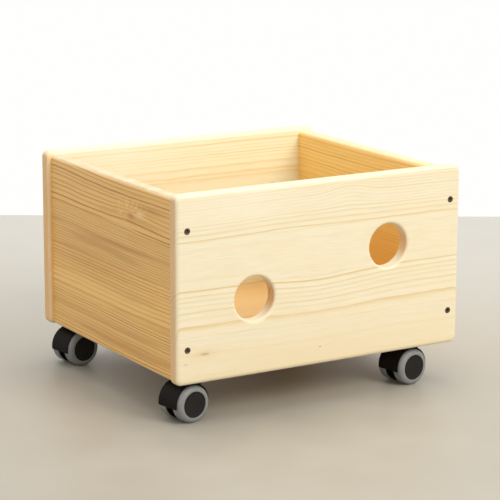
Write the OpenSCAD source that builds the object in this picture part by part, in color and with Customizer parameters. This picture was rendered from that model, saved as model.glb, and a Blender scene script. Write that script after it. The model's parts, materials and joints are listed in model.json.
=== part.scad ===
// Wooden toy box with an open top, on four twin-wheel swivel casters.
// The front and back panels overlap the ends of the side panels and are screwed to them.
// Origin: the middle of the box in plan, on the floor. +Y is the back, +X the right, +Z up.

/* [Box] */
// Length of the front and back panels
box_length = 445; // [380:1:700]
// Depth over the front and back panels
box_depth = 390; // [260:1:600]
// Height of the four panels
panel_height = 250; // [200:1:400]
// Thickness of the four panels
panel_thickness = 20; // [17:0.5:26]
// How far the front and back panels run past the side panels
panel_overhang = 6.5; // [3:0.5:12]
// How far the side panels' upper edges lie below the front and back panels' upper edges
side_drop = 5.5; // [0:0.5:15]
// Radius on the panels' edges
edge_radius = 6; // [2:0.5:8]
// Radius of the front and back panels' corners
corner_radius = 9; // [8:0.5:20]

/* [Hand holes] */
// Diameter of a hand hole
hand_hole_d = 60; // [40:1:75]
// Distance of a hand hole from the panel's middle, along the panel
hand_hole_offset = 105; // [60:1:110]
// Height of the low hand hole above the panel's lower edge
hand_hole_low = 103; // [75:1:110]
// Height of the high hand hole above the panel's lower edge
hand_hole_high = 150; // [115:1:155]
// Radius on the hand holes' rims
hand_hole_rim = 4; // [1:0.5:6]

/* [Bottom board] */
// Thickness of the bottom board
board_thickness = 12; // [9:0.5:18]
// Height of the board's underside above the panels' lower edges
board_rise = 8; // [6:0.5:16]
// Height of the shoulder above the tongue round the board's edges
board_shoulder = 5; // [2:0.5:6]
// Space between the board's shoulder and the panels
shoulder_gap = 0.3; // [0.1:0.1:1]
// Depth of the grooves that hold the board's tongue
groove_depth = 8; // [4:0.5:10]
// Space above the tongue in its groove
groove_slack = 0.2; // [0.1:0.05:0.5]
// Space left for the tongue's edges at the bottom of the grooves
edge_slack = 0.5; // [0.2:0.1:2]

/* [Panel screws] */
// Diameter of a panel screw's countersunk head
head_d = 9; // [8:0.1:11]
// Diameter of a panel screw's plain shank
shank_d = 4.5; // [3.5:0.1:5.5]
// Diameter of a panel screw's threaded end and of its pilot hole
thread_d = 3.5; // [2.5:0.1:4.5]
// Length of a panel screw
screw_length = 50; // [40:1:60]
// Distance of the screws from the panels' upper and lower edges
screw_inset = 47; // [30:1:60]
// How far a screw's head lies below the panel's face
head_sink = 0.4; // [0.1:0.1:1]
// Size of a screw's socket, across its corners
socket_d = 4.6; // [3:0.1:5.5]
// Depth of a screw's socket
socket_depth = 2.4; // [1:0.1:3]

/* [Wheels] */
// Diameter of a wheel over its tread
wheel_d = 50; // [40:1:60]
// Width of one wheel
wheel_width = 19; // [16:0.5:22]
// Gap between a caster's two wheels
wheel_gap = 11; // [10:0.5:16]
// Thickness of the soft tread on the rim
tread_thickness = 5; // [3:0.5:7]
// Radius of the tread's outer shoulder
shoulder_radius = 7; // [4:0.5:7]
// Radius of the tread's inner shoulder
inner_shoulder_radius = 2; // [1:0.5:3]
// How far the tread turns in over the rim's outer face, up to the hub cap
tread_turn_in = 2.5; // [2:0.5:6]
// Thickness of the flange on the inner side of the rim
flange_thickness = 2.5; // [1.5:0.5:4]
// How far the tread stands out past the flange
flange_step = 1; // [0.5:0.5:2]
// Thickness of a hub cap
cap_thickness = 1.4; // [1:0.1:2]
// Diameter of the wheels' axle
axle_d = 5; // [4:0.5:6]
// Wall of a rim's hub round the axle
hub_wall = 3; // [2:0.5:4]

/* [Caster bodies] */
// Width of each wheel that the hood covers
hood_cover = 13; // [8:0.5:16]
// Thickness of the hood over the wheels
hood_wall = 1.5; // [1.2:0.1:3]
// Space between the treads and the hood
hood_slack = 0.8; // [0.5:0.1:2]
// Space between a wheel and the web between the two wheels
web_slack = 0.7; // [0.5:0.1:1]
// Distance from the swivel axis to the wheels' axle, seen from above
trail = 19; // [16:0.5:21]
// Angle that the casters are turned to at rest
heading = 8; // [-20:1:20]
// Space between the hoods and the panels' lower edges
hood_gap = 3.2; // [2:0.1:10]
// Space between a mounting plate and the side panel beside it
plate_gap_x = 5.5; // [5.5:0.5:40]
// Space between a mounting plate and the front or back panel beside it
plate_gap_y = 0.5; // [0.5:0.5:40]

/* [Caster fixings] */
// Side of the square mounting plate
plate_side = 33; // [30:0.5:44]
// Thickness of the mounting plate
plate_thickness = 2.5; // [2:0.5:4]
// Diameter of the swivel pin
pin_d = 6; // [5:0.5:7]
// Length of the swivel pin inside the hood
pin_depth = 18; // [12:1:22]
// How far the swivel pin's collar stands out round it
collar_lip = 3; // [2:0.5:4]
// Thickness of the swivel pin's collar
collar_thickness = 1.2; // [0.8:0.1:1.5]
// Wall of the hood's boss round the swivel pin
boss_wall = 4.5; // [3.5:0.5:5.5]
// Distance of the plate screws from the plate's edges
plate_screw_edge = 4.5; // [4:0.5:5]
// Diameter of a plate screw's shank
plate_screw_d = 3.2; // [2.5:0.1:3.5]
// Diameter of a plate screw's head
plate_screw_head_d = 6.2; // [5:0.1:6.5]
// Height of a plate screw's head
plate_screw_head_h = 1.8; // [1.2:0.1:2]
// How far a plate screw goes into the board
plate_screw_bite = 8; // [5:0.5:8]

/* [Hidden] */
$fn = 96;
eps = 1;
running_fit = 0.05;
thrust_gap = 0.25;

// Heights
axle_z = wheel_d / 2;
pocket_r = wheel_d / 2 + hood_slack;
hood_r = pocket_r + hood_wall;
panel_z = axle_z + hood_r + hood_gap;
board_z = panel_z + board_rise;
plate_z = board_z - plate_thickness;
boss_top = plate_z - collar_thickness - thrust_gap - axle_z;
box_height = panel_z + panel_height;

// Plan of the box
side_length = box_depth - 2 * panel_thickness;
side_x = box_length / 2 - panel_overhang;
inside_x = side_x - panel_thickness;
inside_y = side_length / 2;
edge_r = min(edge_radius, panel_thickness / 2 - 1);
rim_r = min(hand_hole_rim, panel_thickness / 2 - 1);
tongue_reach = groove_depth - edge_slack;
groove_height = board_thickness - board_shoulder + groove_slack;
screw_x = side_x - panel_thickness / 2;

// Parts of a wheel, measured across the wheel from the caster's middle
wheel_in = wheel_gap / 2;
wheel_out = wheel_in + wheel_width;
rim_outer_r = wheel_d / 2 - tread_thickness;
tread_in = wheel_in + flange_thickness;
flange_r = wheel_d / 2 - flange_step;
rim_out = wheel_out - 3;
hub_r = axle_d / 2 + hub_wall;
rim_wall = 2.5;
rim_disc = 2;
cap_r = rim_outer_r - tread_turn_in;
cap_in = wheel_out - 0.3 - cap_thickness;
cap_dish = 0.5;
cap_lip = 1.6;
shoulder_r = min(shoulder_radius, wheel_d / 2 - cap_r - 1);
axle_half = rim_out - 0.5;

// How far the hood comes down, measured up from the axle, behind and in front of the wheels
hood_back = -4;
hood_front = 3;
web_r = rim_outer_r - 1;
hood_half = wheel_in + hood_cover;
web_half = wheel_in - web_slack;
boss_low = 12;

// Swivel axes and what is round them
swivel_x = inside_x - plate_gap_x - plate_side / 2;
swivel_y = inside_y - plate_gap_y - plate_side / 2;
plate_screw_half = plate_side / 2 - plate_screw_edge;

// Casters: name, side along X, side along Y
CASTERS = [
    ["front_left", -1, -1],
    ["front_right", 1, -1],
    ["back_left", -1, 1],
    ["back_right", 1, 1]
];
BOX_PARTS = ["front_panel", "back_panel", "left_side", "right_side", "bottom_board"];
SCREW_PARTS = ["front_screws", "back_screws", "caster_screws"];
CASTER_PARTS = [
    "caster_plate", "swivel_pin", "caster_hood", "axle",
    "rim_a", "tread_a", "cap_a", "rim_b", "tread_b", "cap_b"
];

pale_pine = [0.95, 0.87, 0.72];
tan_pine = [0.80, 0.64, 0.42];
ply = [0.88, 0.74, 0.52];
dark_steel = [0.16, 0.15, 0.14];
bright_steel = [0.72, 0.72, 0.74];
black_plastic = [0.10, 0.10, 0.10];
grey_rubber = [0.60, 0.62, 0.62];

// ---------- shared shapes ----------

// Rectangle with rounded corners, one corner at the origin
module rounded_rect(size, r) {
    translate([r, 0]) square([size.x - 2 * r, size.y]);
    translate([0, r]) square([size.x, size.y - 2 * r]);
    for (x = [r, size.x - r], y = [r, size.y - r]) {
        translate([x, y]) circle(r);
    }
}

// Upright board with rounded corners and its edges rounded all the way round, one corner
// at the origin
module rounded_board(size, corner, r) {
    translate([corner, 0, 0]) rotate([90, 0, 90]) linear_extrude(size.x - 2 * corner)
        rounded_rect([size.y, size.z], r);
    translate([0, 0, corner]) linear_extrude(size.z - 2 * corner)
        rounded_rect([size.x, size.y], r);
    for (x = [corner, size.x - corner], z = [corner, size.z - corner]) {
        translate([x, 0, z]) rotate([-90, 0, 0]) rotate_extrude() intersection() {
            translate([-corner, 0]) rounded_rect([2 * corner, size.y], r);
            square([corner, size.y]);
        }
    }
}

// Countersunk screw: the head's face is at the origin and the screw points along +Z
module countersunk_screw() {
    cone_h = (head_d - shank_d) / 2;
    difference() {
        rotate_extrude() polygon([
            [0, 0],
            [head_d / 2, 0],
            [shank_d / 2, cone_h],
            [shank_d / 2, panel_thickness - head_sink],
            [thread_d / 2, panel_thickness - head_sink],
            [thread_d / 2, screw_length - thread_d],
            [0, screw_length]
        ]);
        translate([0, 0, -eps]) cylinder(d = socket_d, h = socket_depth + eps, $fn = 6);
    }
}

// Clearance hole and countersink for a panel screw, cut from the panel's face along +Z
module screw_hole() {
    cone_h = (head_d - shank_d) / 2;
    translate([0, 0, -eps]) cylinder(d = shank_d + 2 * running_fit, h = panel_thickness + 2 * eps);
    translate([0, 0, -eps]) cylinder(d = head_d, h = head_sink + eps);
    translate([0, 0, head_sink]) cylinder(d1 = head_d, d2 = shank_d, h = cone_h);
}

// Children at the two screws of the front panel's left or right end
module at_screws(side) {
    for (z = [screw_inset, panel_height - screw_inset]) {
        translate([side * screw_x, 0, z]) rotate([-90, 0, 0]) children();
    }
}

// ---------- wooden box ----------

// Rounded edge of a hand hole, cut from a face at the origin along +Z
module rim_cut() {
    r = hand_hole_d / 2 + rim_r;
    rotate_extrude() difference() {
        translate([0, -eps]) square([r, rim_r + eps]);
        translate([r, rim_r]) circle(rim_r);
    }
}

module hand_hole() {
    translate([0, 0, -eps]) cylinder(d = hand_hole_d, h = panel_thickness + 2 * eps);
    rim_cut();
    translate([0, 0, panel_thickness]) mirror([0, 0, 1]) rim_cut();
}

// Front or back panel, with its outer face at y = 0 and its lower edge at z = 0
module long_panel() {
    groove_half = inside_x + groove_depth;
    difference() {
        translate([-box_length / 2, 0, 0])
            rounded_board([box_length, panel_thickness, panel_height], corner_radius, edge_r);
        translate([-hand_hole_offset, 0, hand_hole_low]) rotate([-90, 0, 0]) hand_hole();
        translate([hand_hole_offset, 0, hand_hole_high]) rotate([-90, 0, 0]) hand_hole();
        translate([-groove_half, panel_thickness - groove_depth, board_rise])
            cube([2 * groove_half, groove_depth + eps, groove_height]);
        for (side = [-1, 1]) at_screws(side) screw_hole();
    }
}

// Children seen from the front panel's outer face
module at_front() {
    translate([0, -box_depth / 2, panel_z]) children();
}

// The same place on the back panel, which is the front panel turned round
module at_back() {
    rotate([0, 0, 180]) at_front() children();
}

module front_panel() {
    color(pale_pine) at_front() long_panel();
}

module back_panel() {
    color(pale_pine) at_back() long_panel();
}

// Side panel between the front and back panels, on the right
module side_panel() {
    difference() {
        translate([side_x, -inside_y, panel_z]) rotate([90, 0, 180])
            linear_extrude(side_length)
                rounded_rect([panel_thickness, panel_height - side_drop], edge_r);
        translate([inside_x - eps, -inside_y - eps, board_z])
            cube([groove_depth + eps, side_length + 2 * eps, groove_height]);
        at_front() at_screws(1) pilot_hole();
        at_back() at_screws(-1) pilot_hole();
    }
}

// Pilot hole for a panel screw's threaded end
module pilot_hole() {
    cylinder(d = thread_d, h = head_sink + screw_length);
}

module left_side() {
    color(tan_pine) rotate([0, 0, 180]) side_panel();
}

module right_side() {
    color(tan_pine) side_panel();
}

// Slab centred on the box that stands out past the inside of the panels
module board_slab(reach, height) {
    size = [2 * (inside_x + reach), 2 * (inside_y + reach), height];
    translate([-size.x / 2, -size.y / 2, board_z]) cube(size);
}

// Board with a tongue round its edges that sits in the panels' grooves
module bottom_board() {
    color(ply) difference() {
        union() {
            board_slab(tongue_reach, board_thickness - board_shoulder);
            board_slab(-shoulder_gap, board_thickness);
        }
        for (c = CASTERS) at_plate_screws(c) {
            translate([0, 0, board_z]) cylinder(d = plate_screw_d, h = plate_screw_bite);
        }
    }
}

module panel_screws() {
    for (side = [-1, 1]) at_screws(side) translate([0, 0, head_sink]) countersunk_screw();
}

module front_screws() {
    color(dark_steel) at_front() panel_screws();
}

module back_screws() {
    color(dark_steel) at_back() panel_screws();
}

// ---------- caster fixings ----------

// Children at a caster's swivel axis, on the floor
module at_swivel(c) {
    translate([c[1] * swivel_x, c[2] * swivel_y, 0]) children();
}

module at_plate_screws(c) {
    at_swivel(c) for (x = [-1, 1], y = [-1, 1]) {
        translate([x * plate_screw_half, y * plate_screw_half, 0]) children();
    }
}

module plate_screw() {
    difference() {
        union() {
            cylinder(d = plate_screw_d, h = plate_thickness + plate_screw_bite);
            translate([0, 0, -plate_screw_head_h]) cylinder(d = plate_screw_head_d, h = plate_screw_head_h);
        }
        for (a = [0, 90]) rotate([0, 0, a]) {
            translate([-1.8, -0.4, -plate_screw_head_h - eps]) cube([3.6, 0.8, eps + 1]);
        }
    }
}

module caster_screws() {
    color(bright_steel) for (c = CASTERS) at_plate_screws(c) {
        translate([0, 0, plate_z]) plate_screw();
    }
}

module caster_plate(c) {
    color(bright_steel) difference() {
        at_swivel(c) translate([-plate_side / 2, -plate_side / 2, plate_z])
            linear_extrude(plate_thickness) rounded_rect([plate_side, plate_side], 3);
        at_swivel(c) translate([0, 0, plate_z - eps]) cylinder(d = pin_d, h = plate_thickness + 2 * eps);
        at_plate_screws(c) translate([0, 0, plate_z - eps])
            cylinder(d = plate_screw_d, h = plate_thickness + 2 * eps);
    }
}

// Pin riveted into the plate, with a collar that the hood turns under
module swivel_pin(c) {
    pin_bottom = axle_z + boss_top - pin_depth;
    collar_r = pin_d / 2 + collar_lip;
    color(bright_steel) at_swivel(c) {
        translate([0, 0, pin_bottom]) cylinder(d = pin_d, h = board_z - pin_bottom);
        translate([0, 0, plate_z - collar_thickness]) cylinder(r = collar_r, h = collar_thickness);
    }
}

// ---------- caster bodies ----------

// Children at the middle of a caster's axle, with +X toward the swivel axis and +Y along the axle
module at_axle(c) {
    at_swivel(c) rotate([0, 0, heading]) translate([-trail, 0, axle_z]) children();
}

// Disc or bar round the axle, from y0 to y1 across the caster
module across(r, y0, y1) {
    translate([0, y1, 0]) rotate([90, 0, 0]) cylinder(r = r, h = y1 - y0);
}

// Drum over both wheels, cut off below along a slanted line
module hood_drum() {
    slant = atan((hood_front - hood_back) / (2 * hood_r));
    cut_half = hood_half + eps;
    intersection() {
        across(hood_r, -hood_half, hood_half);
        translate([0, 0, (hood_front + hood_back) / 2]) rotate([0, -slant, 0])
            translate([-2 * hood_r, -cut_half, 0]) cube([4 * hood_r, 2 * cut_half, 2 * hood_r]);
    }
}

module caster_hood(c) {
    color(black_plastic) at_axle(c) difference() {
        union() {
            hood_drum();
            translate([trail, 0, boss_low]) cylinder(d = pin_d + 2 * boss_wall, h = boss_top - boss_low);
            across(web_r, -web_half, web_half);
        }
        across(pocket_r, web_half, hood_half + eps);
        across(pocket_r, -hood_half - eps, -web_half);
        translate([trail, 0, boss_top - pin_depth - thrust_gap])
            cylinder(d = pin_d + 2 * running_fit, h = pin_depth + thrust_gap + eps);
        across(axle_d / 2, -web_half - eps, web_half + eps);
    }
}

module axle(c) {
    color(bright_steel) at_axle(c) across(axle_d / 2, -axle_half, axle_half);
}

// Children on the wheel toward the front (side -1) or the back (side 1), with +Z outward along the axle
module at_wheel(c, side) {
    at_axle(c) rotate([side * -90, 0, 0]) children();
}

// Rim with a hub, an inner flange, an outer disc and a spigot for the cap
module rim(c, side) {
    color(black_plastic) at_wheel(c, side) rotate_extrude() polygon([
        [axle_d / 2 + running_fit, wheel_in],
        [hub_r, wheel_in],
        [hub_r, rim_out - rim_disc],
        [rim_outer_r - rim_wall, rim_out - rim_disc],
        [rim_outer_r - rim_wall, wheel_in],
        [flange_r, wheel_in],
        [flange_r, tread_in],
        [rim_outer_r, tread_in],
        [rim_outer_r, rim_out],
        [cap_r, rim_out],
        [cap_r, cap_in],
        [axle_d / 2 + running_fit, cap_in]
    ]);
}

// Soft tread round the rim, turned in over the rim's outer face
module tread(c, side) {
    r = wheel_d / 2;
    inner_r = min(inner_shoulder_radius, tread_thickness - 1);
    color(grey_rubber) at_wheel(c, side) rotate_extrude() difference() {
        union() {
            translate([cap_r, rim_out]) square([r - shoulder_r - cap_r, wheel_out - rim_out]);
            translate([rim_outer_r, tread_in]) square([tread_thickness - inner_r, inner_r]);
            translate([r - inner_r, tread_in + inner_r]) circle(inner_r);
            translate([rim_outer_r, tread_in + inner_r])
                square([tread_thickness, wheel_out - shoulder_r - tread_in - inner_r]);
            translate([r - shoulder_r, wheel_out - shoulder_r]) circle(shoulder_r);
        }
        translate([0, wheel_in - eps]) square([rim_outer_r, rim_out - wheel_in + eps]);
        translate([0, wheel_in - eps]) square([cap_r, wheel_width + 2 * eps]);
    }
}

// Flat cap pressed on the spigot, with a shallow dish inside its lip
module cap(c, side) {
    color(black_plastic) at_wheel(c, side) rotate_extrude() polygon([
        [0, cap_in],
        [cap_r, cap_in],
        [cap_r, cap_in + cap_thickness],
        [cap_r - cap_lip, cap_in + cap_thickness],
        [cap_r - cap_lip - cap_dish, cap_in + cap_thickness - cap_dish],
        [0, cap_in + cap_thickness - cap_dish]
    ]);
}

front_panel();
back_panel();
left_side();
right_side();
bottom_board();
front_screws();
back_screws();
caster_screws();
for (c = CASTERS) {
    caster_plate(c);
    swivel_pin(c);
    caster_hood(c);
    axle(c);
    rim(c, -1);
    tread(c, -1);
    cap(c, -1);
    rim(c, 1);
    tread(c, 1);
    cap(c, 1);
}
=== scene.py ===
"""The wooden toy box on casters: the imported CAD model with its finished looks."""

import json
import math

import bmesh
import bpy
from mathutils import Matrix, Quaternion, Vector


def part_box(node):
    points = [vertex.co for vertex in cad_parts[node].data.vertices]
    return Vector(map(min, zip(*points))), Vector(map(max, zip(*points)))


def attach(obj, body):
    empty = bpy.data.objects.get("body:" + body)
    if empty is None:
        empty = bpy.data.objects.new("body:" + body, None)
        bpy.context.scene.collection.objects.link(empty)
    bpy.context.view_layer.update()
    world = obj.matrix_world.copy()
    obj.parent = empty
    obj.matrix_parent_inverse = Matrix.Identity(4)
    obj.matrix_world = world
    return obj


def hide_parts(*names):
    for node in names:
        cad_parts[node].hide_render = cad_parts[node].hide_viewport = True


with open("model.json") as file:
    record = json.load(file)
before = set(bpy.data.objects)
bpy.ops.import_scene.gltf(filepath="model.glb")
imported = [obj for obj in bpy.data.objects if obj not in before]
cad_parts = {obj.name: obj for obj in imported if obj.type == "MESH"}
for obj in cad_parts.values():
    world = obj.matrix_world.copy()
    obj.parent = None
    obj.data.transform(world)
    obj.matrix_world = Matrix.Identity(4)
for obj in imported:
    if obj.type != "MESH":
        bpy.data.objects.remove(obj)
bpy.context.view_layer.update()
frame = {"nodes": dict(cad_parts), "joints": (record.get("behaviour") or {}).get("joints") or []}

MM = 0.001
PLACES = ("front_left", "front_right", "back_left", "back_right")

# Camera: its place round the box and its roll in degrees, its distance and the point it
# looks at in metres, its focal length in millimetres
AZIMUTH = -31.197
ELEVATION = 12.757
ROLL = 0.184
DISTANCE = 2.951
AIM = (0.0037, -0.0022, 0.1732)
LENS = 151.76

# Floor: how far it reaches from the box along the camera's view and to each side, in metres
FLOOR_FAR, FLOOR_NEAR, FLOOR_HALF = 1.06, 6.0, 6.0

# Bottom board: how far it reaches past the panels' inner faces, in millimetres
BOARD_TONGUE = 7.5

# Wheel parts, in millimetres: FROM, TO, SEAT, FACE and DIMPLE are places along the axle,
# measured outward from the caster's middle; the others are sizes across a section
TREAD_FROM, TREAD_TO, TREAD_SEAT = 8.0, 24.5, 21.5
TREAD_THICKNESS, INNER_SHOULDER, OUTER_SHOULDER = 5.0, 2.0, 6.4
CAP_FROM, CAP_TO, CAP_FACE, CAP_DIMPLE = 22.8, 24.2, 23.75, 23.5
CAP_CLEARANCE, CAP_LIP, CAP_SLOPE, BORE_GAP = 0.2, 1.6, 2.2, 0.1

# Panel screw: radii and depths below its head's face, in millimetres
HEAD_R, SHANK_R, SOCKET_R = 4.5, 2.25, 2.3
SOCKET_DEPTH, SOCKET_TIP, SHANK_END, SCREW_TIP = 2.4, 2.9, 18.8, 49.6
THREAD_FROM, THREAD_TO, THREAD_STEP = 19.2, 46.4, 0.31
PITCH, ROOT_R, CREST_R, TAPER = 2.2, 1.25, 1.72, 5.0
TOOTH_HALF = 0.22  # half of a thread's tooth, as a share of the pitch

# Rounded edges of moulded and stamped parts, in millimetres
HOOD_EDGE, STEEL_EDGE, THIN_EDGE = 0.55, 0.3, 0.2

# How sharp an edge is to be rounded on those parts, and to stay crisp on a screw
BEVEL_ANGLE, CRISP_ANGLE = math.radians(28), math.radians(38)

# How finely curves are cut: arc length in millimetres, sides of a wheel, sides of a screw
ARC_STEP, LATHE_SIDES, SCREW_SIDES = 0.35, 96, 36


# ---------- camera, floor and light ----------

def add(name, data):
    made = bpy.data.objects.new(name, data)
    bpy.context.scene.collection.objects.link(made)
    return made


def direction(azimuth, elevation):
    a, e = math.radians(azimuth), math.radians(elevation)
    return Vector((math.sin(a) * math.cos(e), -math.cos(a) * math.cos(e), math.sin(e)))


def make_camera():
    back = direction(AZIMUTH, ELEVATION)
    data = bpy.data.cameras.new("camera")
    data.lens = LENS
    data.dof.use_dof = False
    camera = add("camera", data)
    camera.rotation_mode = "QUATERNION"
    camera.location = Vector(AIM) + back * DISTANCE
    turn = Quaternion((0, 0, 1), math.radians(ROLL))
    camera.rotation_quaternion = (-back).to_track_quat("-Z", "Y") @ turn
    bpy.context.scene.camera = camera


def make_floor():
    """A pale table top, with its far edge square to the camera's view."""
    away = -direction(AZIMUTH, 0)
    side = Vector((-away.y, away.x, 0))
    plan = ((-FLOOR_HALF, -FLOOR_NEAR), (-FLOOR_HALF, FLOOR_FAR),
            (FLOOR_HALF, FLOOR_FAR), (FLOOR_HALF, -FLOOR_NEAR))
    mesh = bpy.data.meshes.new("floor")
    mesh.from_pydata([tuple(away * y + side * x) for x, y in plan], [], [(3, 2, 1, 0)])
    floor = add("floor", mesh)
    mesh.materials.append(floor_paint())


def make_light(name, place, aim, size, power, colour):
    """A round area light: its place, aim and size in metres, its power in watts."""
    data = bpy.data.lights.new(name, "AREA")
    data.shape = "DISK"
    data.size = size
    data.energy = power
    data.color = colour
    light = add(name, data)
    light.location = place
    light.rotation_mode = "QUATERNION"
    light.rotation_quaternion = (Vector(aim) - Vector(place)).to_track_quat("-Z", "Y")


def make_lights():
    make_light("key", (0.8, -2.8, 2.1), (0, 0, 0.15), 1.8, 68, (1.0, 0.98, 0.95))
    make_light("top", (0.1, 0.3, 2.6), (0, 0, 0.1), 1.8, 22, (1.0, 0.99, 0.97))
    world = bpy.data.worlds.new("studio")
    world.use_nodes = True
    sky = world.node_tree.nodes["Background"]
    sky.inputs["Color"].default_value = (1.0, 0.995, 0.985, 1)
    sky.inputs["Strength"].default_value = 1.0
    bpy.context.scene.world = world
    bpy.context.scene.view_settings.view_transform = "Standard"


# ---------- materials ----------

class Paint:
    """A material, with short calls that add nodes to it."""

    def __init__(self, name):
        self.material = bpy.data.materials.new(name)
        self.material.use_nodes = True
        self.tree = self.material.node_tree
        self.shader = self.tree.nodes["Principled BSDF"]

    def put(self, socket, value):
        if isinstance(value, bpy.types.NodeSocket):
            self.tree.links.new(value, socket)
        else:
            socket.default_value = value

    def node(self, kind, values=(), **settings):
        made = self.tree.nodes.new(kind)
        for key, value in settings.items():
            setattr(made, key, value)
        for key, value in dict(values).items():
            self.put(made.inputs[key], value)
        return made

    def math(self, operation, *values):
        made = self.node("ShaderNodeMath", enumerate(values), operation=operation)
        return made.outputs[0]

    def total(self, *values):
        result = values[0]
        for value in values[1:]:
            result = self.math("ADD", result, value)
        return result

    def product(self, *values):
        result = values[0]
        for value in values[1:]:
            result = self.math("MULTIPLY", result, value)
        return result

    def vector(self, x, y, z):
        return self.node("ShaderNodeCombineXYZ", {0: x, 1: y, 2: z}).outputs[0]

    def stretch(self, place, scale):
        made = self.node("ShaderNodeVectorMath", {0: place, 1: scale}, operation="MULTIPLY")
        return made.outputs[0]

    def mix(self, fac, a, b, blend="MIX"):
        made = self.node("ShaderNodeMix", {0: fac, 6: a, 7: b}, data_type="RGBA", blend_type=blend)
        return made.outputs[2]

    def noise(self, place, scale, detail=2.0, roughness=0.5):
        made = self.node("ShaderNodeTexNoise", {
            "Vector": place, "Scale": scale, "Detail": detail, "Roughness": roughness,
        })
        return made.outputs["Fac"]

    def random(self, value):
        made = self.node("ShaderNodeTexWhiteNoise", {"W": value}, noise_dimensions="1D")
        return made.outputs["Value"]

    def span(self, value, low, high, start=0.0, end=1.0, smooth=False):
        """Carries low..high over to start..end, and holds the end values outside."""
        kind = "SMOOTHSTEP" if smooth else "LINEAR"
        made = self.node("ShaderNodeMapRange", {0: value, 1: low, 2: high, 3: start, 4: end},
                         interpolation_type=kind, clamp=True)
        return made.outputs[0]

    def ramp(self, fac, stops, interpolation="LINEAR"):
        made = self.node("ShaderNodeValToRGB", {0: fac})
        made.color_ramp.interpolation = interpolation
        points = made.color_ramp.elements
        while len(points) < len(stops):
            points.new(1.0)
        for point, (at, colour) in zip(points, stops):
            point.position = at
            point.color = (*colour, 1.0)
        return made.outputs[0]

    def bump(self, height, distance, strength):
        values = {"Height": height, "Distance": distance, "Strength": strength}
        return self.node("ShaderNodeBump", values).outputs[0]

    def place(self):
        return self.node("ShaderNodeTexCoord").outputs["Object"]

    def normal(self):
        return self.node("ShaderNodeNewGeometry").outputs["Normal"]

    def finish(self, **values):
        for key, value in values.items():
            self.put(self.shader.inputs[key.replace("_", " ")], value)
        return self.material


def floor_paint():
    """Pale grey-brown with a faint mottle, and painted light that makes it paler toward its far
    edge.
    """
    p = Paint("floor")
    mottle = p.noise(p.place(), 9.0, 4.0, 0.55)
    colour = p.ramp(mottle, ((0.3, (0.36, 0.327, 0.267)), (0.7, (0.39, 0.357, 0.293))))
    # painted light: the floor pales with distance along the camera's view
    away = -direction(AZIMUTH, 0)
    dot = p.node("ShaderNodeVectorMath", {0: p.place(), 1: away}, operation="DOT_PRODUCT")
    distance = p.span(dot.outputs["Value"], -0.4, 1.1, smooth=True)
    colour = p.mix(distance, colour, (0.52, 0.495, 0.44, 1))
    rough = p.span(mottle, 0.3, 0.7, 0.42, 0.55)
    return p.finish(Base_Color=colour, Roughness=rough)


def times(colour, factor):
    """A lighter or darker colour; no channel goes past 1."""
    return tuple(min(1.0, c * factor) for c in colour)


def between(one, two, share):
    """A colour part of the way from one to another."""
    return tuple(a + (b - a) * share for a, b in zip(one, two))


def offsets(p, u, v, patch):
    """A point's offsets from a patch's middle, as shares of its reach, and their square sum."""
    u0, v0, reach_u, reach_v = patch
    du = p.math("DIVIDE", p.math("SUBTRACT", u, u0), reach_u)
    dv = p.math("DIVIDE", p.math("SUBTRACT", v, v0), reach_v)
    return du, dv, p.total(p.product(du, du), p.product(dv, dv))


def hump(p, u, v, patch):
    """1 at a patch's middle, falling off softly past its reach."""
    return p.math("EXPONENT", p.product(offsets(p, u, v, patch)[2], -1.0))


def per_strip(p, fraction, values):
    """One value for each strip, where fraction runs from 0 to 1 over the strips."""
    lowest, highest = min(values), max(values)
    if highest == lowest:
        return lowest
    scaled = [(x - lowest) / (highest - lowest) for x in values]
    stops = [(i / len(values), (x, x, x)) for i, x in enumerate(scaled)]
    return p.span(p.ramp(fraction, stops, "CONSTANT"), 0.0, 1.0, lowest, highest)


def fan_of_rays(p, colour, u, v, patch, light, dark):
    """Pale rays that spread over the wood from a cut branch, longest toward one side."""
    rays, heading = 16.0, 1.9  # how many in a turn, and where the longest point, in radians
    du, dv, square = offsets(p, u, v, patch)
    far = p.math("SQRT", square)
    twist = p.noise(p.vector(p.product(u, 0.04), p.product(v, 0.08), 0.0), 1.0, 2.0)
    angle = p.total(p.math("ARCTAN2", dv, du), p.product(twist, 1.4))
    ray = p.span(p.math("COSINE", p.product(angle, rays)), -0.5, 0.9, smooth=True)
    reach = p.product(p.span(far, 0.05, 0.2, smooth=True),
                      p.span(far, 0.3, 1.0, 1.0, 0.0, smooth=True))
    toward = p.math("COSINE", p.total(angle, -heading))
    reach = p.product(reach, p.span(toward, -0.9, 0.7, 0.1, 1.0, smooth=True))
    colour = p.mix(p.product(reach, 0.25), colour, (*between(light, dark, 0.45), 1))
    colour = p.mix(p.product(reach, ray, 0.5), colour, (*times(light, 1.14), 1))
    return p.mix(p.span(far, 0.04, 0.16, 0.45, 0.0), colour, (*dark, 1))


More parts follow.
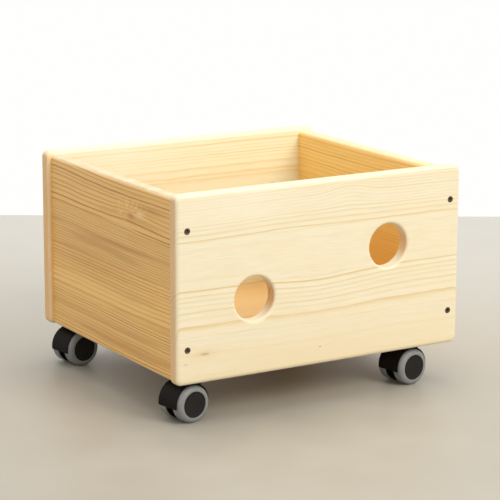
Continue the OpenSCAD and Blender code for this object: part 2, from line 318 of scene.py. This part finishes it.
def pine(node, axes, strips, tones, bends=(), marks=(), stains_and_shade=(), burst=None, depth=1.0, seed=0.0):
    """Pine board, glued up from strips that are each cut from their own log.

    Lengths are in millimetres.
    axes: the index of the axis along the grain, across the board and through it.
    strips: the log's centre across and through the board, ring spacing, strength of the
        ring lines, tone, how far the lines wander.
    tones: light wood, dark ring line, end grain, pale edge: partly rubbed bare, partly painted
    highlight.
    bends: places where the rings rise: along, across, reach along, reach across, rise.
    marks: small knots and flecks: along, across, half length, half height, darkness.
    stains_and_shade: soft patches, some of them stain and some painted shade: along, across, reach
    along, reach across, amount, colour.
    burst: a fan of rays round a cut branch: along, across, reach along, reach across.
    depth: how strongly the rings and the bands of rings show.
    seed: another number gives another run of the same kind of grain.
    """
    light, dark, end, worn_and_highlight = tones
    count = len(strips)
    p = Paint(node + "_wood")
    size = p.stretch(p.place(), (1 / MM,) * 3)
    axis = p.node("ShaderNodeSeparateXYZ", {0: size}).outputs
    lowest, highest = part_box(node)
    low = lowest[axes[1]] / MM
    width = (highest[axes[1]] - lowest[axes[1]]) / MM / count
    middle = (lowest[axes[2]] + highest[axes[2]]) / 2 / MM
    u, v = axis[axes[0]], axis[axes[1]]
    w = p.total(axis[axes[2]], -middle)
    strip_at = p.math("DIVIDE", p.math("SUBTRACT", v, low), width)
    index = p.math("MINIMUM", p.math("MAXIMUM", p.math("FLOOR", strip_at), 0.0), float(count - 1))
    fraction = p.math("DIVIDE", p.total(index, 0.5), float(count))
    centre_v, centre_w, spacing, strength, tone, wander_by = (
        per_strip(p, fraction, column) for column in zip(*strips))

    # the log's rings, wandering along the board
    shift = p.product(p.total(index, seed), 37.7)
    slow = p.vector(p.product(u, 0.0045), shift, p.product(v, 0.006))
    wander = p.product(p.total(p.noise(slow, 1.0, 2.0, 0.45), -0.5), wander_by)
    away_v = p.total(p.math("SUBTRACT", v, centre_v), wander)
    for *patch, rise in bends:
        away_v = p.total(away_v, p.product(hump(p, u, v, patch), -rise))
    away_w = p.math("SUBTRACT", w, centre_w)
    radius = p.math("SQRT", p.total(p.product(away_v, away_v), p.product(away_w, away_w)))
    ripple = p.vector(p.product(u, 0.02), p.product(v, 0.10), p.total(p.product(w, 0.10), shift))
    radius = p.total(radius, p.product(p.total(p.noise(ripple, 1.0, 3.0, 0.5), -0.5), 1.5))
    years = p.noise(p.vector(p.product(radius, 0.05), shift, 0.0), 1.0, 1.0)
    ring = p.total(p.math("DIVIDE", radius, spacing), p.product(years, 2.4))
    part = p.math("FRACT", ring)
    chance = p.random(p.total(p.math("FLOOR", ring), p.product(shift, 3.1)))
    late = p.product(p.span(part, 0.45, 0.88, smooth=True),
                     p.span(part, 0.90, 1.0, 1.0, 0.0, smooth=True))
    faint = 0.1 + 0.15 * depth
    each = p.total(p.product(p.math("POWER", chance, 1.6), 1 - faint), faint)
    late = p.product(late, each, strength)

    # fibres, resin streaks and slow changes of tone
    fibre_at = p.vector(p.product(u, 0.03), p.product(v, 1.3), p.product(w, 1.3))
    fibre = p.noise(fibre_at, 1.0, 4.0, 0.6)
    streak_at = p.vector(p.product(u, 0.025), p.product(v, 0.5), p.product(w, 0.5))
    streak = p.noise(streak_at, 1.0, 3.0, 0.5)
    cloud_at = p.vector(p.product(u, 0.007), p.product(v, 0.03), p.total(shift, w))
    cloud = p.noise(cloud_at, 1.0, 2.0, 0.5)
    colour = p.mix(late, (*light, 1), (*dark, 1))
    warm = [a * b for a, b in zip(light, (0.98, 0.91, 0.80))]
    colour = p.mix(p.product(p.span(cloud, 0.42, 0.72), 0.5), colour, (*warm, 1))
    band_at = p.vector(p.product(radius, 0.09), p.total(shift, 5.0), p.product(u, 0.003))
    bands = p.noise(band_at, 1.0, 2.0, 0.6)
    banded = p.product(p.span(bands, 0.5, 0.72, smooth=True), 0.6 * depth - 0.4)
    colour = p.mix(banded, colour, (*between(light, dark, 0.45), 1))
    grey = p.product(p.span(fibre, 0.3, 0.7, 0.96, 1.03),
                     p.span(streak, 0.3, 0.7, 0.965, 1.03), tone)
    colour = p.mix(1.0, colour, p.vector(grey, grey, grey), "MULTIPLY")
    dash_at = p.vector(p.product(u, 0.12), p.product(v, 1.6), p.total(p.product(w, 1.6), shift))
    dash = p.noise(dash_at, 1.0, 1.0)
    colour = p.mix(p.product(p.span(dash, 0.74, 0.82), 0.3), colour, (*times(dark, 0.8), 1))

    # glue lines between strips
    to_line = p.math("SUBTRACT", strip_at, p.math("ROUND", strip_at))
    near = p.product(p.math("ABSOLUTE", to_line), width)
    seam = p.product(p.span(near, 0.1, 0.45, 1.0, 0.0), 0.35)
    colour = p.mix(seam, colour, (*dark, 1))

    # stain patches and painted shade, the fan of rays, knots and flecks
    for *patch, amount, shade in stains_and_shade:
        colour = p.mix(p.product(hump(p, u, v, patch), amount), colour, (*shade, 1))
    if burst:
        colour = fan_of_rays(p, colour, u, v, burst, light, dark)
    for *patch, amount in marks:
        far = p.math("SQRT", offsets(p, u, v, patch)[2])
        far = p.total(far, p.product(p.total(p.noise(size, 0.5, 2.0), -0.5), 0.7))
        eye = p.product(p.span(far, 0.45, 1.0, 1.0, 0.0, smooth=True), amount)
        colour = p.mix(eye, colour, (*times(dark, 0.42), 1))

    # end grain is darker; rounded edges are paler, partly rubbed bare and partly painted highlight
    face = p.node("ShaderNodeSeparateXYZ", {0: p.normal()}).outputs
    sides = [p.math("ABSOLUTE", face[i]) for i in axes]
    ends = p.span(sides[0], 0.5, 0.97, smooth=True)
    grain = p.mix(late, (*end, 1), (*times(end, 0.75), 1))
    colour = p.mix(p.product(ends, 0.8), colour, grain)
    flat = p.math("MAXIMUM", sides[0], sides[2])
    # painted highlight mixed with rubbing: a pale tone over every rounded edge, patchy along it
    wear_and_highlight = p.span(p.noise(size, 0.05, 3.0), 0.3, 0.7, 0.55, 1.0)
    edge = p.product(p.span(flat, 0.98, 0.75), wear_and_highlight)
    colour = p.mix(p.product(edge, 0.75), colour, (*worn_and_highlight, 1))

    # raised ring lines, sunk glue lines, duller end grain
    height = p.total(p.product(fibre, 0.5), p.product(late, 0.35), p.product(seam, -1.5))
    rough = p.total(p.span(fibre, 0.3, 0.7, 0.42, 0.52), p.product(late, -0.06),
                    p.product(ends, 0.15))
    return p.finish(Base_Color=colour, Roughness=rough, Normal=p.bump(height, 0.00012, 0.6),
                    Specular_IOR_Level=0.35, Coat_Weight=0.06, Coat_Roughness=0.3)


# End grain of the pale and the dark boards, and the pale rounded edges: partly wood rubbed bare,
# partly painted highlight
END_GRAIN = (0.70, 0.435, 0.20)
DARK_END = (0.45, 0.29, 0.145)
WORN_AND_HIGHLIGHT = (0.79, 0.69, 0.49)


def front_paint():
    strips = ((60.0, 60.0, 4.2, 0.35, 0.985, 12.0), (116.0, -60.0, 4.6, 1.0, 1.0, 5.0),
              (214.0, -85.0, 4.0, 0.30, 1.0, 12.0), (228.0, -36.0, 3.8, 0.85, 1.0, 8.0))
    tones = ((0.755, 0.675, 0.49), (0.65, 0.455, 0.195), END_GRAIN, WORN_AND_HIGHLIGHT)
    bends = ((41.0, 290.0, 34.0, 22.0, 8.0), (-5.0, 162.0, 90.0, 40.0, -9.0))
    marks = ((-180.3, 94.6, 8.0, 2.2, 0.42), (-209.0, 84.0, 3.4, 0.8, 0.6),
             (-3.6, 79.9, 3.0, 0.9, 0.7))
    stains_and_shade = ((0.0, 72.0, 320.0, 34.0, 0.6, (0.74, 0.60, 0.37)),
              (-150.0, 285.0, 120.0, 26.0, 0.4, (0.82, 0.76, 0.60)),
              (-180.0, 95.0, 16.0, 5.0, 0.4, (0.68, 0.44, 0.18)))
    return pine("front_panel", (0, 2, 1), strips, tones, bends, marks, stains_and_shade, seed=4.0)


def back_paint():
    strips = ((30.0, 50.0, 4.2, 0.6, 0.99, 14.0), (150.0, 60.0, 4.6, 0.8, 1.0, 10.0),
              (222.0, 70.0, 4.4, 0.6, 0.98, 12.0), (232.0, -46.0, 4.6, 0.95, 1.0, 6.0))
    tones = ((0.84, 0.79, 0.54), (0.74, 0.51, 0.19), END_GRAIN, WORN_AND_HIGHLIGHT)
    bends = ((-90.0, 150.0, 30.0, 18.0, 9.0),)
    marks = ((-90.0, 152.0, 5.0, 3.6, 0.55), (60.0, 118.0, 3.0, 0.9, 0.5),
             (150.0, 226.0, 4.0, 0.8, 0.4))
    stains_and_shade = ((-222.0, 180.0, 12.0, 400.0, 0.9, (0.86, 0.46, 0.13)),
              (-110.0, 290.0, 110.0, 34.0, 0.5, (0.86, 0.85, 0.68)))
    return pine("back_panel", (0, 2, 1), strips, tones, bends, marks, stains_and_shade, seed=11.0)


def left_paint():
    strips = ((-30.0, -40.0, 4.4, 0.9, 1.0, 10.0), (112.0, -46.0, 3.6, 0.9, 1.05, 7.0),
              (345.0, -30.0, 3.6, 1.0, 0.95, 12.0), (200.0, -50.0, 5.2, 1.0, 1.0, 8.0))
    light, dark = (0.80, 0.50, 0.17), (0.38, 0.125, 0.016)
    brown = (0.44, 0.17, 0.026)
    bends = ((-62.0, 256.0, 60.0, 13.0, 6.5), (160.0, 285.0, 120.0, 60.0, 6.0))
    marks = ((118.0, 92.0, 2.6, 0.8, 0.4), (-76.0, 262.5, 4.0, 1.6, 0.35))
    stains_and_shade = ((-30.0, 209.0, 110.0, 4.0, 0.45, brown), (-112.0, 272.0, 42.0, 4.5, 0.55, brown),
              (-86.0, 262.0, 12.0, 5.0, 0.6, (0.90, 0.70, 0.42)),
              (20.0, 133.0, 200.0, 11.0, 0.45, times(light, 1.1)),
              (60.0, 168.0, 150.0, 16.0, 0.30, brown), (-40.0, 78.0, 160.0, 9.0, 0.25, brown))
    return pine("left_side", (1, 2, 0), strips, (light, dark, DARK_END, WORN_AND_HIGHLIGHT), bends, marks, stains_and_shade,
                burst=(-62.0, 256.0, 70.0, 34.0), depth=2.1, seed=2.0)


def right_paint():
    strips = ((10.0, 40.0, 3.8, 0.8, 1.0, 10.0), (112.0, 50.0, 3.6, 0.8, 1.02, 10.0),
              (340.0, -40.0, 3.6, 0.95, 0.97, 12.0), (190.0, -60.0, 4.6, 0.95, 1.0, 12.0))
    # the light wood is brighter and more orange than the left side's: partly its own tone, partly
    # painted light for its brightly lit inner face
    tones = ((0.95, 0.66, 0.215), (0.70, 0.33, 0.055), DARK_END, WORN_AND_HIGHLIGHT)
    bends = ((70.0, 150.0, 26.0, 14.0, 8.0),)
    marks = ((70.0, 151.0, 5.5, 4.0, 0.6), (-90.0, 210.0, 3.0, 0.9, 0.4))
    # painted shade: a darker orange patch over the lower part of the panel, where less light
    # reaches its inner face
    stains_and_shade = ((-45.0, 150.0, 120.0, 62.0, 0.75, (0.74, 0.35, 0.045)),)
    return pine("right_side", (1, 2, 0), strips, tones, bends, marks, stains_and_shade, depth=1.5, seed=9.0)


def board_paint():
    """The bottom board, with painted shade along the lines where it meets the front and the back.
    """
    strips = ((-160.0, 50.0, 3.6, 0.6, 1.0, 14.0), (0.0, 60.0, 3.2, 0.6, 0.98, 14.0),
              (150.0, -50.0, 3.6, 0.6, 1.0, 14.0))
    tones = ((0.74, 0.50, 0.22), (0.58, 0.33, 0.10), (0.42, 0.27, 0.14), (0.70, 0.55, 0.35))
    low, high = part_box("bottom_board")
    inside = (high.y - low.y) / 2 / MM - BOARD_TONGUE
    # painted shade: thin dark lines in the creases where the board meets the front and the back
    painted_crease_shade = (900.0, 1.1, 0.75, (0.20, 0.09, 0.03))
    stains_and_shade = tuple((0.0, y, *painted_crease_shade) for y in (-inside, inside))
    return pine("bottom_board", (0, 1, 2), strips, tones, stains_and_shade=stains_and_shade, seed=15.0)


def plastic_paint(name, colour, rough):
    """Moulded plastic with the fine texture of its mould."""
    p = Paint(name)
    place = p.place()
    grain = p.noise(place, 2600.0, 3.0, 0.6)
    cloud = p.noise(place, 60.0, 3.0, 0.5)
    shade = p.ramp(cloud, ((0.3, times(colour, 0.85)), (0.7, times(colour, 1.2))))
    roughness = p.total(p.span(cloud, 0.3, 0.7, rough, rough + 0.1),
                        p.span(grain, 0.3, 0.7, -0.04, 0.06))
    return p.finish(Base_Color=shade, Roughness=roughness, Normal=p.bump(grain, 0.00006, 0.5),
                    Specular_IOR_Level=0.1)


def rubber_paint():
    """Grey tread rubber, a little dusty."""
    p = Paint("grey_tread")
    place = p.place()
    grain = p.noise(place, 1800.0, 3.0, 0.6)
    dust = p.noise(place, 140.0, 4.0, 0.6)
    shade = p.ramp(dust, ((0.3, (0.18, 0.183, 0.18)), (0.7, (0.222, 0.224, 0.22))))
    roughness = p.span(dust, 0.3, 0.7, 0.42, 0.56)
    return p.finish(Base_Color=shade, Roughness=roughness, Normal=p.bump(grain, 0.00005, 0.4),
                    Specular_IOR_Level=0.4)


def steel_paint(name, colour, rough):
    """Plated or blackened steel, faintly stained."""
    p = Paint(name)
    place = p.place()
    grain = p.noise(place, 900.0, 4.0, 0.6)
    stain = p.noise(place, 180.0, 3.0, 0.5)
    shade = p.ramp(stain, ((0.3, times(colour, 0.8)), (0.7, times(colour, 1.15))))
    roughness = p.span(grain, 0.3, 0.7, rough, rough + 0.15)
    return p.finish(Base_Color=shade, Roughness=roughness, Metallic=1.0,
                    Normal=p.bump(grain, 0.00004, 0.3))


# ---------- shapes ----------

def rounded(outline):
    """Outline of a lathe shape in metres, from points (r, z, corner radius) in millimetres."""
    made = []
    for i, (r, z, bend) in enumerate(outline):
        here = Vector((r, z))
        if not bend:
            made.append(here * MM)
            continue
        before = Vector(outline[i - 1][:2]) - here
        after = Vector(outline[(i + 1) % len(outline)][:2]) - here
        half = before.angle(after) / 2
        reach = bend / math.tan(half)
        start = here + before.normalized() * reach
        halfway = (before.normalized() + after.normalized()).normalized()
        middle = here + halfway * bend / math.sin(half)
        spoke = start - middle
        sweep = math.pi - 2 * half
        if before.cross(after) > 0:
            sweep = -sweep
        steps = max(3, round(abs(sweep) * bend / ARC_STEP))
        for k in range(steps + 1):
            turn = Matrix.Rotation(sweep * k / steps, 2)
            made.append((middle + turn @ spoke) * MM)
    return made


def loft(name, rings, material, place=None, closed=False):
    """Skin over rings that have the same number of points; a ring of one point closes an end."""
    work = bmesh.new()
    rows = [[work.verts.new(point) for point in ring] for ring in rings]
    pairs = list(zip(rows, rows[1:]))
    if closed:
        pairs.append((rows[-1], rows[0]))
    for one, two in pairs:
        count = max(len(one), len(two))
        for k in range(count):
            j = (k + 1) % count
            corners = [one[k % len(one)], one[j % len(one)], two[j % len(two)], two[k % len(two)]]
            work.faces.new(dict.fromkeys(corners))
    bmesh.ops.recalc_face_normals(work, faces=work.faces)
    mesh = bpy.data.meshes.new(name)
    work.to_mesh(mesh)
    work.free()
    if place:
        mesh.transform(place)
    return finished(name, mesh, material)


def finished(name, mesh, material, edge=0, steps=2):
    """A smooth-shaded piece; edge is how wide its sharp edges are rounded, in millimetres."""
    mesh.materials.append(material)
    mesh.shade_smooth()
    piece = add(name, mesh)
    if edge:
        edges = piece.modifiers.new("edges", "BEVEL")
        edges.width = edge * MM
        edges.segments = steps
        edges.limit_method = "ANGLE"
        edges.angle_limit = BEVEL_ANGLE
    normals = piece.modifiers.new("normals", "WEIGHTED_NORMAL")
    normals.keep_sharp = True
    return piece


def circle(radius, z, steps):
    """Points round the axis, or one point where the radius is nothing."""
    if radius < 1e-7:
        return [(0, 0, z)]
    return [(radius * math.cos(a), radius * math.sin(a), z)
            for a in (2 * math.pi * k / steps for k in range(steps))]


def lathe(name, outline, material, place):
    """An outline turned round its axis; one that keeps clear of the axis closes on itself."""
    rings = [circle(r, z, LATHE_SIDES) for r, z in rounded(outline)]
    return loft(name, rings, material, place, closed=all(len(ring) > 1 for ring in rings))


def along(centre, axis):
    """Matrix that takes +Z to an axis through a centre."""
    return Matrix.Translation(centre) @ Vector(axis).to_track_quat("Z", "Y").to_matrix().to_4x4()


def soften(node, edge, material, steps=2):
    """New piece in a CAD node's place: its form with clean faces and small rounded edges."""
    work = bmesh.new()
    work.from_mesh(frame["nodes"][node].data)
    bmesh.ops.remove_doubles(work, verts=work.verts, dist=1e-6)
    bmesh.ops.dissolve_limit(work, angle_limit=math.radians(1), verts=work.verts, edges=work.edges)
    work.verts.index_update()
    mesh = bpy.data.meshes.new(node + "_finished")
    faces = [[v.index for v in f.verts] for f in work.faces]
    mesh.from_pydata([v.co[:] for v in work.verts], [], faces)
    work.free()
    return finished(node + "_finished", mesh, material, edge, steps)


# ---------- finishes on the CAD's nodes, and pieces in their place ----------

def dress(nodes, material):
    """Gives CAD nodes a finish and leaves their form alone."""
    for name in nodes:
        mesh = frame["nodes"][name].data
        mesh.materials.clear()
        mesh.materials.append(material)


def at_places(*parts):
    return [f"{part}_{place}" for part in parts for place in PLACES]


def stand_in(piece, node, body):
    """Puts a piece in a CAD node's place, to move with a body."""
    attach(piece, body)
    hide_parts(node)


def joint_line(name):
    """A joint's point and axis at rest."""
    joint = next(j for j in frame["joints"] if j["name"] == name)
    return Vector(joint["pos_m"]), Vector(joint["axis"])


def tread_outline(radius, cap_r):
    """A band with round shoulders, whose outer side turns in over the rim up to the hub cap."""
    seat, bore = radius - TREAD_THICKNESS, cap_r + BORE_GAP
    return ((seat, TREAD_FROM, 0), (radius, TREAD_FROM, INNER_SHOULDER),
            (radius, TREAD_TO, OUTER_SHOULDER), (bore, TREAD_TO, 0.5),
            (bore, TREAD_SEAT, 0), (seat, TREAD_SEAT, 0))


def cap_outline(cap_r):
    """A disc with a raised lip round a dished face and a small dimple at its middle."""
    rim, lip, face = cap_r - CAP_CLEARANCE, cap_r - CAP_LIP, cap_r - CAP_SLOPE
    return ((0.0, CAP_FROM, 0), (rim, CAP_FROM, 0.2), (rim, CAP_TO, 0.45), (lip, CAP_TO, 0.35),
            (face, CAP_FACE, 0.35), (1.5, CAP_FACE, 0.2),
            (1.2, CAP_DIMPLE, 0.15), (0.0, CAP_DIMPLE, 0))


def radius_of(node):
    """Radius of a node that stands on edge, in millimetres."""
    low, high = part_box(node)
    return (high.z - low.z) / 2 / MM


def make_wheels(rubber, plastic):
    """Tread and hub cap of every wheel, on the lathe, measured from the caster's middle."""
    for place in PLACES:
        centre, axis = joint_line(f"wheel_a_spin_{place}")
        for letter, outward in (("a", axis), ("b", -axis)):
            where = along(centre, outward)
            body = f"wheel_{letter}_{place}"
            cap_r = radius_of(f"cap_{letter}_{place}")
            outline = tread_outline(radius_of(f"tread_{letter}_{place}"), cap_r)
            tread = lathe(f"tread_{letter}_{place}_moulded", outline, rubber, where)
            stand_in(tread, f"tread_{letter}_{place}", body)
            cap = lathe(f"cap_{letter}_{place}_moulded", cap_outline(cap_r), plastic, where)
            stand_in(cap, f"cap_{letter}_{place}", body)


def screw_rings():
    """A countersunk screw with a hex socket, ring by ring from the socket's tip to the point."""
    turns = [2 * math.pi * k / SCREW_SIDES for k in range(SCREW_SIDES)]

    def ring(radius, depth):
        return [(radius * math.cos(a), radius * math.sin(a), depth) for a in turns]

    def hexagon(radius, depth):
        flat = radius * math.cos(math.pi / 6)
        reach = [flat / math.cos((a % (math.pi / 3)) - math.pi / 6) for a in turns]
        return [(r * math.cos(a), r * math.sin(a), depth) for a, r in zip(turns, reach)]

    def thread(depth):
        taper = min(1.0, (SCREW_TIP - depth) / TAPER)
        row = []
        for a in turns:
            phase = (depth / PITCH - a / (2 * math.pi)) % 1.0
            tooth = max(0.0, 1 - abs(phase - 0.5) / TOOTH_HALF)
            r = (ROOT_R + (CREST_R - ROOT_R) * tooth) * taper
            row.append((r * math.cos(a), r * math.sin(a), depth))
        return row

    # the socket and its softened mouth, the head's face and rounded edge, the cone, the shank
    rings = [
        [(0, 0, SOCKET_TIP)], hexagon(SOCKET_R, SOCKET_DEPTH),
        hexagon(SOCKET_R, 0.35), hexagon(SOCKET_R + 0.12, 0.2), ring(SOCKET_R + 0.55, 0.03),
        ring(HEAD_R - 0.45, 0.02), ring(HEAD_R - 0.12, 0.1), ring(HEAD_R, 0.3),
        ring(SHANK_R, HEAD_R - SHANK_R + 0.25), ring(SHANK_R, SHANK_END),
    ]
    count = math.ceil((THREAD_TO - THREAD_FROM) / THREAD_STEP)
    rings += [thread(THREAD_FROM + k * THREAD_STEP) for k in range(count)]
    rings.append([(0, 0, SCREW_TIP)])
    return [[tuple(c * MM for c in point) for point in row] for row in rings]


def make_screws(name, node, facing, steel):
    """The four screws of one panel; facing is -1 for the front, 1 for the back."""
    low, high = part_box(node)
    face = low.y if facing < 0 else high.y
    middle = (low.z + high.z) / 2
    for x in (low.x + HEAD_R * MM, high.x - HEAD_R * MM):
        for z in (low.z + HEAD_R * MM, high.z - HEAD_R * MM):
            turn = 7 * (0.4 + 3.0 * x + 5.0 * z)  # each screw stops at a turn of its own
            where = along(Vector((x, face, z)), (0, -facing, 0)) @ Matrix.Rotation(turn, 4, "Z")
            side, level = ("left" if x < 0 else "right"), ("low" if z < middle else "high")
            piece = loft(f"{name}_{side}_{level}", screw_rings(), steel, where)
            piece.data.set_sharp_from_angle(angle=CRISP_ANGLE)
            stand_in(piece, node, "box")


make_camera()
make_floor()
make_lights()

black = plastic_paint("black_plastic", (0.0058, 0.0036, 0.0020), 0.46)
cap_black = plastic_paint("cap_plastic", (0.0155, 0.014, 0.0125), 0.5)
rubber = rubber_paint()
dark_steel = steel_paint("dark_steel", (0.13, 0.105, 0.075), 0.3)
zinc = steel_paint("zinc_steel", (0.62, 0.62, 0.63), 0.28)

dress(["front_panel"], front_paint())
dress(["back_panel"], back_paint())
dress(["left_side"], left_paint())
dress(["right_side"], right_paint())
dress(["bottom_board"], board_paint())
dress(at_places("rim_a", "rim_b"), black)

make_wheels(rubber, cap_black)
make_screws("front_screw", "front_screws", -1, dark_steel)
make_screws("back_screw", "back_screws", 1, dark_steel)
stand_in(soften("caster_screws", THIN_EDGE, zinc), "caster_screws", "box")
for place in PLACES:
    hood = soften(f"caster_hood_{place}", HOOD_EDGE, black, 3)
    stand_in(hood, f"caster_hood_{place}", f"hood_{place}")
    for part, edge, body in (("caster_plate", STEEL_EDGE, "box"), ("swivel_pin", THIN_EDGE, "box"),
                             ("axle", STEEL_EDGE, f"hood_{place}")):
        stand_in(soften(f"{part}_{place}", edge, zinc), f"{part}_{place}", body)
